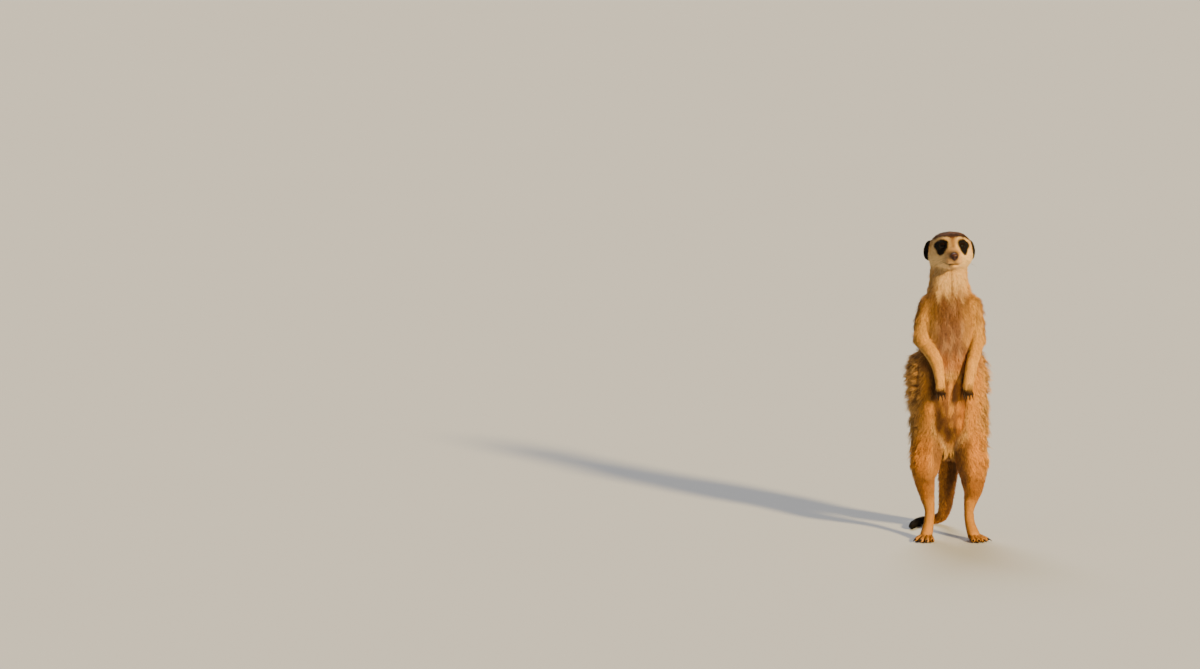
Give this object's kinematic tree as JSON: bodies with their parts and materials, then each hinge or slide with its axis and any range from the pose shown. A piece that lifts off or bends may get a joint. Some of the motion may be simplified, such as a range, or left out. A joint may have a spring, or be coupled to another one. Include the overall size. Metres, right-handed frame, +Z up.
{
  "type": "life-size meerkat model",
  "caption": "Still, life-size meerkat standing upright as a sentry on its hind feet and tail, forepaws hanging in front of its belly.",
  "frame": {"origin": "on the floor, under the middle of the whole animal's bounding box", "axes": "+Z up from the floor; the animal faces -Y; +X is its left side"},
  "size_m": [0.0942, 0.156, 0.3261],
  "materials": {
    "coat_pale": "short pale fur",
    "coat_body": "grizzled tan fur",
    "coat_back": "grizzled brown fur with dark bands",
    "ear_black": "short black fur",
    "nose_leather": "bare damp skin",
    "eye_dark": "wet gloss",
    "claw_horn": "smooth dark horn"
  },
  "bodies": {
    "root": {"eye_l": "eye_dark", "eye_r": "eye_dark", "nose": "nose_leather", "head": "coat_pale", "ear_l": "ear_black", "ear_r": "ear_black", "upper_arm_l": "coat_body", "forearm_l": "coat_pale", "hand_l": "coat_pale", "claw_hand_l_1": "claw_horn", "claw_hand_l_2": "claw_horn", "claw_hand_l_3": "claw_horn", "claw_hand_l_4": "claw_horn", "thigh_l": "coat_body", "shank_l": "coat_body", "foot_l": "coat_pale", "claw_foot_l_1": "claw_horn", "claw_foot_l_2": "claw_horn", "claw_foot_l_3": "claw_horn", "claw_foot_l_4": "claw_horn", "upper_arm_r": "coat_body", "forearm_r": "coat_pale", "hand_r": "coat_pale", "claw_hand_r_1": "claw_horn", "claw_hand_r_2": "claw_horn", "claw_hand_r_3": "claw_horn", "claw_hand_r_4": "claw_horn", "thigh_r": "coat_body", "shank_r": "coat_body", "foot_r": "coat_pale", "claw_foot_r_1": "claw_horn", "claw_foot_r_2": "claw_horn", "claw_foot_r_3": "claw_horn", "claw_foot_r_4": "claw_horn", "tail_base": "coat_body", "tail_middle": "coat_body", "tail_tip": "ear_black", "neck": "coat_pale", "chest": "coat_body", "abdomen": "coat_body", "pelvis": "coat_back"}
  },
  "joints": []
}
